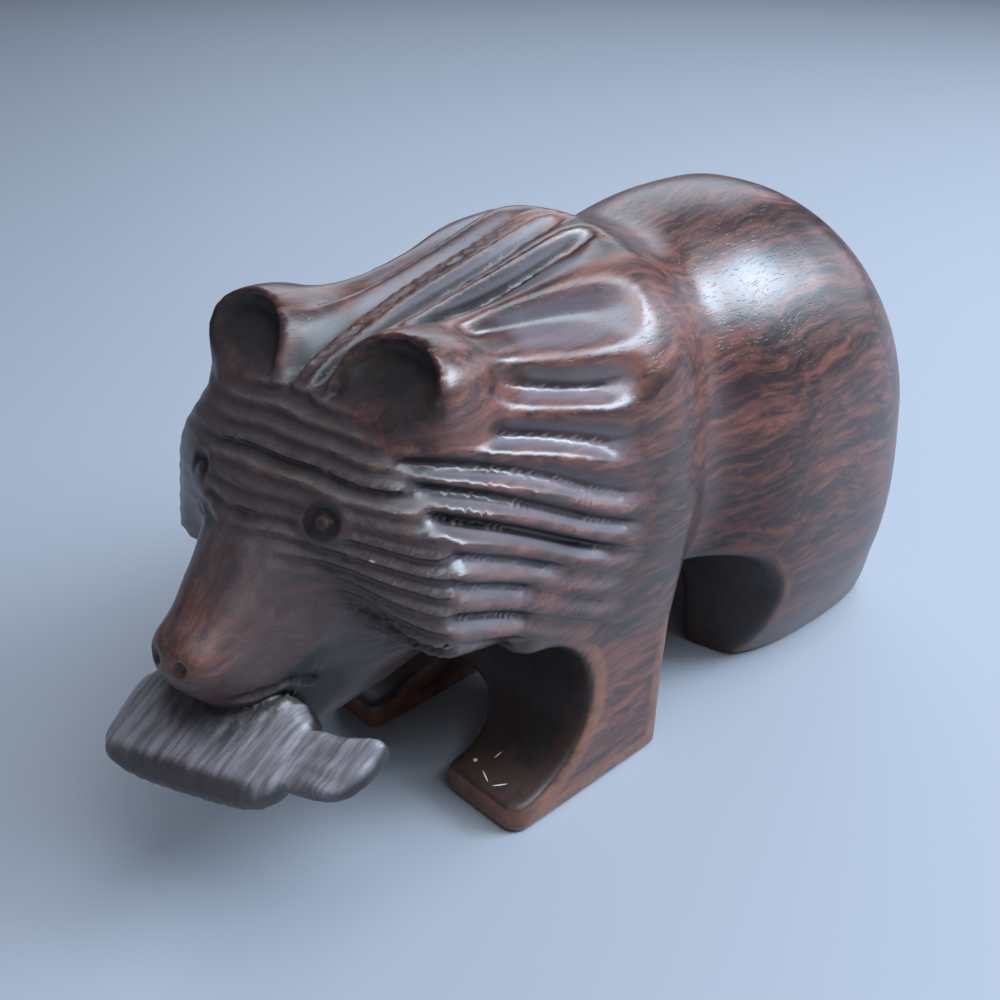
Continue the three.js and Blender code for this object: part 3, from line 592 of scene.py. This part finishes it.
class Nodes:
    def __init__(self, tree):
        self.tree = tree

    def add(self, kind, settings=None, **inputs):
        node = self.tree.nodes.new(kind)
        for name, value in (settings or {}).items():
            setattr(node, name, value)
        for name, value in inputs.items():
            self.feed(node, name.replace("_", " "), value)
        return node

    def feed(self, node, name, value):
        socket = node.inputs[int(name[1:])] if name[1:].isdigit() else node.inputs[name]
        if isinstance(value, bpy.types.NodeSocket):
            self.tree.links.new(value, socket)
        else:
            socket.default_value = value

    def math(self, operation, a, b=0.0, clamp=False):
        node = self.add("ShaderNodeMath", {"operation": operation, "use_clamp": clamp}, i0=a, i1=b)
        return node.outputs[0]

    def span(self, value, low, high, out_low=0.0, out_high=1.0):
        node = self.add("ShaderNodeMapRange", {"interpolation_type": "SMOOTHSTEP"}, Value=value)
        for name, number in zip(("From Min", "From Max", "To Min", "To Max"), (low, high, out_low, out_high)):
            node.inputs[name].default_value = number
        return node.outputs[0]

    def mix(self, factor, a, b, blend="MIX"):
        node = self.add("ShaderNodeMix", {"data_type": "RGBA", "blend_type": blend})
        self.feed(node, "i0", factor)
        self.feed(node, "i6", a)
        self.feed(node, "i7", b)
        return node.outputs[2]

    def noise(self, vector, scale, detail=4.0, rough=0.55, distortion=0.0):
        return self.add("ShaderNodeTexNoise", Vector=vector, Scale=scale, Detail=detail, Roughness=rough,
                        Distortion=distortion).outputs[0]

    def stretch(self, vector, scale, turn=(0, 0, 0)):
        return self.add("ShaderNodeMapping", Vector=vector, Scale=scale, Rotation=turn).outputs[0]


def new_group(name, inputs, outputs):
    tree = bpy.data.node_groups.new(name, "ShaderNodeTree")
    for title, kind in inputs:
        tree.interface.new_socket(title, in_out="INPUT", socket_type=kind)
    for title, kind in outputs:
        tree.interface.new_socket(title, in_out="OUTPUT", socket_type=kind)
    return tree, tree.nodes.new("NodeGroupInput"), tree.nodes.new("NodeGroupOutput"), Nodes(tree)


FLOAT, COLOUR, VECTOR = "NodeSocketFloat", "NodeSocketColor", "NodeSocketVector"
print("node helpers ready")

# %% [markdown]
# Desert ironwood is dark red-brown with near-black bands, and its pores are short dark flecks along the
# grain. Noise that is stretched along the length of the block gives bands that follow the carving on every
# side, as real growth rings do; a picture of wood wrapped round the bear would not.

# %% Grain group
grain, given, result, n = new_group(
    "ironwood_grain", [("Place", VECTOR)],
    [("Colour", COLOUR), ("Band", FLOAT), ("Fleck", FLOAT)])
swirl = n.add("ShaderNodeTexNoise", Vector=given.outputs["Place"], Scale=26.0, Detail=3.0, Roughness=0.5)
pull = n.add("ShaderNodeVectorMath", {"operation": "MULTIPLY_ADD"}, i0=swirl.outputs[1],
             i1=(0.016, 0.016, 0.016), i2=given.outputs["Place"]).outputs[0]
across = n.stretch(pull, (1.0, 0.085, 1.0), (0.30, 0.0, 0.10))
streaks = n.noise(across, 800.0, 4.0, 0.62, 0.3)
bands = n.noise(across, 170.0, 3.0, 0.55, 0.5)
broad = n.noise(given.outputs["Place"], 36.0, 3.0, 0.55)
band = n.math("ADD", n.math("MULTIPLY", streaks, 0.48), n.math("MULTIPLY", bands, 0.32))
band = n.math("ADD", band, n.math("MULTIPLY", broad, 0.20))
ramp_node = n.add("ShaderNodeValToRGB", Fac=band)
stops = [(0.38, (0.013, 0.007, 0.007, 1)), (0.46, (0.034, 0.013, 0.011, 1)), (0.51, (0.072, 0.024, 0.018, 1)),
         (0.57, (0.125, 0.040, 0.026, 1)), (0.66, (0.190, 0.068, 0.042, 1))]
ramp_node.color_ramp.elements[0].position, ramp_node.color_ramp.elements[0].color = stops[0]
ramp_node.color_ramp.elements[1].position, ramp_node.color_ramp.elements[1].color = stops[-1]
for position, colour in stops[1:-1]:
    ramp_node.color_ramp.elements.new(position).color = colour
pore_place = n.stretch(pull, (1.0, 0.16, 1.0), (0.30, 0.0, 0.10))
pores = n.noise(pore_place, 2600.0, 2.0, 0.5)
fleck = n.span(pores, 0.60, 0.70)
patches = n.span(n.noise(given.outputs["Place"], 40.0, 2.0), 0.35, 0.65, 0.35, 1.0)
fleck = n.math("MULTIPLY", fleck, patches)
flecked = n.mix(n.math("MULTIPLY", fleck, 0.6), ramp_node.outputs[0], (0.006, 0.004, 0.004, 1))
n.tree.links.new(flecked, result.inputs["Colour"])
n.tree.links.new(band, result.inputs["Band"])
n.tree.links.new(fleck, result.inputs["Fleck"])
print("grain group:", len(grain.nodes), "nodes")

# %% [markdown]
# Handling wears the dark skin off the edges in broken patches, and dust stays where no finger wipes. Both
# could be painted by hand, but a mask from a measure times a noise gives the same patches from every side.

# %% Wear group
wear, given, result, n = new_group(
    "handled_wear", [("Place", VECTOR), ("Edge", FLOAT), ("Reach", FLOAT)], [("Mask", FLOAT)])
broken = n.span(n.noise(given.outputs["Place"], 260.0, 5.0, 0.65), 0.32, 0.62, 0.25, 1.0)
rubbed = n.span(given.outputs["Edge"], 0.05, 0.26)
mask = n.math("MULTIPLY", n.math("MULTIPLY", rubbed, broken), given.outputs["Reach"], True)
n.tree.links.new(mask, result.inputs["Mask"])
print("wear group:", len(wear.nodes), "nodes")

# %% Dust group
dust, given, result, n = new_group(
    "settled_dust", [("Place", VECTOR), ("Depth", FLOAT), ("Amount", FLOAT)], [("Mask", FLOAT)])
cloud = n.span(n.noise(given.outputs["Place"], 120.0, 6.0, 0.7), 0.30, 0.70, 0.2, 1.0)
grit = n.span(n.noise(given.outputs["Place"], 1400.0, 3.0, 0.6), 0.35, 0.75, 0.55, 1.0)
deep = n.math("ADD", n.math("MULTIPLY", given.outputs["Depth"], 0.7), 0.3)
mask = n.math("MULTIPLY", n.math("MULTIPLY", cloud, grit), deep)
mask = n.math("MULTIPLY", mask, given.outputs["Amount"], True)
n.tree.links.new(mask, result.inputs["Mask"])
print("dust group:", len(dust.nodes), "nodes")

# %% [markdown]
# A few white specks and hairs of lint cling to the cheek and the toes. Each is a small stretched ball of
# white around its own point. Real hairs would be tiny loose pieces, and the carving is one solid.

# %% Lint group
lint, given, result, n = new_group("lint", [("Place", VECTOR)], [("Mask", FLOAT)])
specks = [((21.7, -60.7, 64.5), (0.65, 0.6, 0.6), 0), ((20.3, -63.7, 57.7), (0.7, 0.6, 0.8), 0),
          ((18.0, -39.7, 5.5), (1.5, 0.16, 0.5), 50), ((11.2, -38.7, 5.7), (0.45, 0.4, 0.4), 0),
          ((15.0, -40.0, 5.6), (1.6, 0.14, 0.5), -25), ((13.5, -36.0, 6.6), (1.2, 0.14, 0.5), 80)]
mask = 0.0
for spot, size, turn in specks:
    centre = ((np.array(spot) - ORIGIN) * MM).tolist()
    near = n.add("ShaderNodeMapping", {"vector_type": "TEXTURE"}, Vector=given.outputs["Place"],
                 Location=centre, Rotation=(0, 0, np.radians(turn)),
                 Scale=(np.array(size) * MM).tolist()).outputs[0]
    away = n.add("ShaderNodeVectorMath", {"operation": "LENGTH"}, i0=near).outputs["Value"]
    mask = n.math("MAXIMUM", mask, n.span(away, 1.0, 0.6))
n.tree.links.new(mask, result.inputs["Mask"])
print(len(specks), "specks of lint")

# %% [markdown]
# The ironwood itself is hand-rubbed to a satin gloss on the rump and shoulder. It is duller on the face, the
# fish and inside the cuts, where no hand reaches. Worn edges show the orange-brown wood under the dark skin.
# Shade is painted into the colour in the cuts, the hollows, under the belly, toes and ear hoods, in the brow
# valleys and on the fish's bevel; highlights are painted on the mane cuts' lower walls and the brow crests.

# %% Ironwood
ironwood = bpy.data.materials.new("ironwood")
ironwood.use_nodes = True
n = Nodes(ironwood.node_tree)
shader = ironwood.node_tree.nodes["Principled BSDF"]
place = n.add("ShaderNodeTexCoord").outputs["Object"]
edge = n.add("ShaderNodeAttribute", {"attribute_name": "edge"}).outputs["Fac"]
in_cut = n.add("ShaderNodeAttribute", {"attribute_name": "cut"}).outputs["Fac"]
hollow = n.add("ShaderNodeAttribute", {"attribute_name": "hollow"}).outputs["Fac"]
on_fish = n.add("ShaderNodeAttribute", {"attribute_name": "fish"}).outputs["Fac"]
axes = n.add("ShaderNodeSeparateXYZ", Vector=place)
on_face = n.span(axes.outputs["Y"], -0.036, -0.056)
grain_node = n.add("ShaderNodeGroup", {"node_tree": grain}, Place=place)
on_mane = n.math("MULTIPLY", n.span(axes.outputs["Y"], -0.006, -0.016),
                 n.span(axes.outputs["Z"], 0.026, 0.034))
reach = n.span(on_mane, 0.0, 1.0, 1.0, 0.15)
wear_node = n.add("ShaderNodeGroup", {"node_tree": wear}, Place=place, Edge=edge, Reach=reach)
off_fish = n.math("SUBTRACT", 1.0, on_fish)
dust_amount = n.math("MULTIPLY", n.math("MULTIPLY", on_face, 0.75), off_fish)
dust_amount = n.math("ADD", dust_amount, 0.10)
dust_node = n.add("ShaderNodeGroup", {"node_tree": dust}, Place=place, Depth=hollow, Amount=dust_amount)
# Painted shade: the colour goes near-black deep in the cuts, where the steep walls would lie in shadow.
colour = n.mix(n.math("MULTIPLY", n.span(in_cut, 0.05, 0.4), 0.75), grain_node.outputs["Colour"],
               (0.008, 0.005, 0.005, 1))
colour = n.mix(wear_node.outputs["Mask"], colour, (0.180, 0.066, 0.032, 1))
off_nose = n.span(axes.outputs["Y"], -0.073, -0.064, 0.25, 1.0)
greyed = n.math("MULTIPLY", n.math("MULTIPLY", on_face, off_nose), 0.68)
colour = n.mix(greyed, colour, (0.056, 0.042, 0.043, 1))
fish_lines = n.noise(n.stretch(place, (1.0, 0.10, 0.10), (0.0, 0.12, 0.2)), 1100.0, 3.0, 0.6)
fish_grey = n.mix(n.span(fish_lines, 0.30, 0.70), (0.115, 0.102, 0.110, 1), (0.270, 0.250, 0.275, 1))
fish_face = n.add("ShaderNodeAttribute", {"attribute_name": "fish_face"}).outputs["Fac"]
# Painted shade: the whole fish starts near-black and only its broad upper face is greyed, so the belly bevel
# keeps a painted shadow.
colour = n.mix(n.math("MULTIPLY", on_fish, 0.85), colour, (0.008, 0.005, 0.005, 1))
colour = n.mix(n.math("MULTIPLY", fish_face, 0.85), colour, fish_grey)
chalk = n.add("ShaderNodeAttribute", {"attribute_name": "chalk"}).outputs["Fac"]
colour = n.mix(n.math("MULTIPLY", chalk, n.span(n.noise(place, 420.0, 4.0, 0.7), 0.35, 0.65)), colour,
               (0.40, 0.38, 0.38, 1))
colour = n.mix(n.math("MULTIPLY", dust_node.outputs["Mask"], 0.8), colour, (0.125, 0.108, 0.115, 1))
# Painted shade: large hollows such as the belly arch and the foreleg scoop are darkened.
colour = n.mix(n.math("MULTIPLY", n.span(hollow, 0.25, 0.75), 0.8), colour, (0.010, 0.008, 0.008, 1))
from_eye = n.add("ShaderNodeAttribute", {"attribute_name": "eye"}).outputs["Fac"]
ring = n.math("MULTIPLY", n.span(from_eye, 0.16, 0.26), n.span(from_eye, 0.60, 0.48))
colour = n.mix(n.math("MULTIPLY", ring, 0.85), colour, (0.007, 0.004, 0.004, 1))
colour = n.mix(n.span(from_eye, 0.24, 0.10, 0.0, 0.8), colour, (0.034, 0.012, 0.010, 1))
groove = n.add("ShaderNodeAttribute", {"attribute_name": "groove"}).outputs["Fac"]
# Painted highlight: the broad lower walls of the mane's V cuts get a pale bluish tint where the window light
# would reflect.
painted_cut_highlight = n.math("MULTIPLY", groove, n.span(on_face, 1.0, 0.0))
painted_cut_highlight = n.math("MULTIPLY", painted_cut_highlight, n.span(in_cut, 0.55, 0.15))
colour = n.mix(n.math("MULTIPLY", painted_cut_highlight, 0.6), colour, (0.165, 0.150, 0.172, 1))
ridge = n.add("ShaderNodeAttribute", {"attribute_name": "ridge"}).outputs["Fac"]
# Painted shade in the valleys between the brow lines.
brow_valley_shade = n.math("MULTIPLY", n.math("MULTIPLY", groove, on_face), 0.35)
colour = n.mix(brow_valley_shade, colour, (0.014, 0.012, 0.012, 1))
# Painted highlight on the crests of the brow lines.
colour = n.mix(n.math("MULTIPLY", ridge, 0.8), colour, (0.165, 0.118, 0.105, 1))
under = n.add("ShaderNodeAttribute", {"attribute_name": "under"}).outputs["Fac"]
# Painted shade under the belly arch, in the toe scoop and in the ear hollows.
colour = n.mix(n.math("MULTIPLY", under, 0.85), colour, (0.007, 0.006, 0.006, 1))
lint_node = n.add("ShaderNodeGroup", {"node_tree": lint}, Place=place)
colour = n.mix(lint_node.outputs["Mask"], colour, (0.50, 0.48, 0.47, 1))
n.feed(shader, "Base Color", colour)
rough = n.math("ADD", n.math("MULTIPLY", grain_node.outputs["Band"], 0.20), 0.22)
rough = n.math("ADD", rough, n.math("MULTIPLY", dust_node.outputs["Mask"], 0.45))
rough = n.math("ADD", rough, n.math("MULTIPLY", under, 0.25))
rough = n.math("ADD", rough, n.math("MULTIPLY", on_fish, 0.15))
rough = n.math("ADD", rough, n.math("MULTIPLY", n.span(hollow, 0.2, 0.8), 0.25), True)
n.feed(shader, "Roughness", rough)
height = n.math("SUBTRACT", n.math("MULTIPLY", grain_node.outputs["Band"], 0.25), grain_node.outputs["Fleck"])
tool = n.noise(n.stretch(place, (1.0, 0.25, 1.0)), 900.0, 3.0, 0.6)
height = n.math("ADD", height, n.math("MULTIPLY", tool, 0.6))
height = n.math("ADD", height, n.math("MULTIPLY", n.math("MULTIPLY", fish_lines, on_fish), 4.0))
bump = n.add("ShaderNodeBump", Strength=0.22, Distance=0.0002, Height=height)
n.feed(shader, "Normal", bump.outputs[0])
shader.inputs["Specular IOR Level"].default_value = 0.5
shader.inputs["Coat Weight"].default_value = 0.15
shader.inputs["Coat Roughness"].default_value = 0.25
bear.data.materials.append(ironwood)
print("ironwood:", len(ironwood.node_tree.nodes), "nodes")

# %% [markdown]
# The stage is a plain pale floor. A window-like light behind the bear's left flank draws the highlight on
# the rump, broad lights above and behind give the mane its sheen, and a weak fill in front keeps the face
# readable. One strong lamp would be simpler, but its hard highlights would make satin wood look like plastic.

# %% Floor
floor_mesh = bpy.data.meshes.new("floor")
floor_mesh.from_pydata([(-3, -3, 0), (3, -3, 0), (3, 3, 0), (-3, 3, 0)], [], [(0, 1, 2, 3)])
floor = bpy.data.objects.new("floor", floor_mesh)
bpy.context.collection.objects.link(floor)
floor_paint = bpy.data.materials.new("pale_floor")
floor_paint.use_nodes = True
floor_shader = floor_paint.node_tree.nodes["Principled BSDF"]
floor_shader.inputs["Base Color"].default_value = (0.278, 0.293, 0.328, 1)
floor_shader.inputs["Roughness"].default_value = 0.55
floor.data.materials.append(floor_paint)
print("floor at z = 0")

# %% Lights


def soft_light(name, azimuth, elevation, distance, size, power, colour):
    lamp = bpy.data.lights.new(name, "AREA")
    lamp.shape = "RECTANGLE"
    lamp.size, lamp.size_y = size
    lamp.energy = power
    lamp.color = colour
    lamp_object = bpy.data.objects.new(name, lamp)
    bpy.context.collection.objects.link(lamp_object)
    a, e = np.radians([azimuth, elevation])
    direction = np.array([np.sin(a) * np.cos(e), -np.cos(a) * np.cos(e), np.sin(e)])
    lamp_object.location = direction * distance + np.array([0, 0, 0.04])
    lamp_object.rotation_euler = (np.pi / 2 - e, 0, a)
    return lamp_object


lights = [
    soft_light("window", 136, 34, 0.9, (0.42, 0.36), 12, (0.66, 0.83, 1.0)),
    soft_light("low window", 165, 14, 0.9, (0.55, 0.32), 1.2, (0.70, 0.83, 1.0)),
    soft_light("back wall", 220, 32, 1.2, (1.0, 0.6), 5, (0.74, 0.86, 1.0)),
    soft_light("ceiling", 105, 66, 1.1, (0.9, 0.8), 17, (0.78, 0.88, 1.0)),
    soft_light("fill", 40, 35, 1.0, (0.7, 0.5), 1.0, (1.0, 0.97, 0.95)),
]
world = bpy.data.worlds.new("room")
world.use_nodes = True
world.node_tree.nodes["Background"].inputs["Color"].default_value = (0.55, 0.65, 0.88, 1)
world.node_tree.nodes["Background"].inputs["Strength"].default_value = 0.12
bpy.context.scene.world = world
bpy.context.scene.view_settings.view_transform = "Standard"
print(len(lights), "lights")
